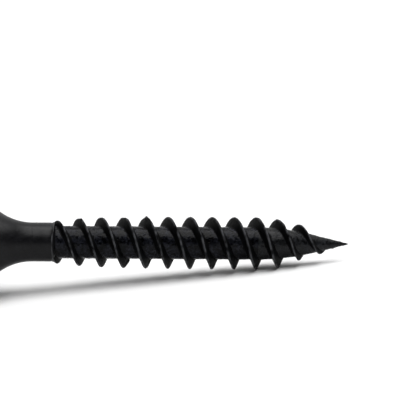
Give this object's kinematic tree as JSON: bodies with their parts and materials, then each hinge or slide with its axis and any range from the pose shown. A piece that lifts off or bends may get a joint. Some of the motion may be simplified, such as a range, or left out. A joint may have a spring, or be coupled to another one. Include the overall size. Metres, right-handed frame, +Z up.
{
  "type": "wood screw",
  "caption": "Bugle-head screw with a cross recess, a short plain shank, a right-hand twin-start thread and a sharp point, in black phosphated steel.",
  "frame": {"origin": "centre of the head's top face, in the mouth of the drive recess", "axes": "+X along the screw's axis from the head to the point, +Z up with the screw lying on its side"},
  "size_m": [0.025, 0.0074, 0.0074],
  "materials": {
    "phosphated_steel": "black phosphate, satin, lightly oiled"
  },
  "bodies": {
    "root": {"head": "phosphated_steel", "shank": "phosphated_steel", "core": "phosphated_steel", "point": "phosphated_steel", "thread_start_1": "phosphated_steel", "thread_start_2": "phosphated_steel"}
  },
  "joints": []
}
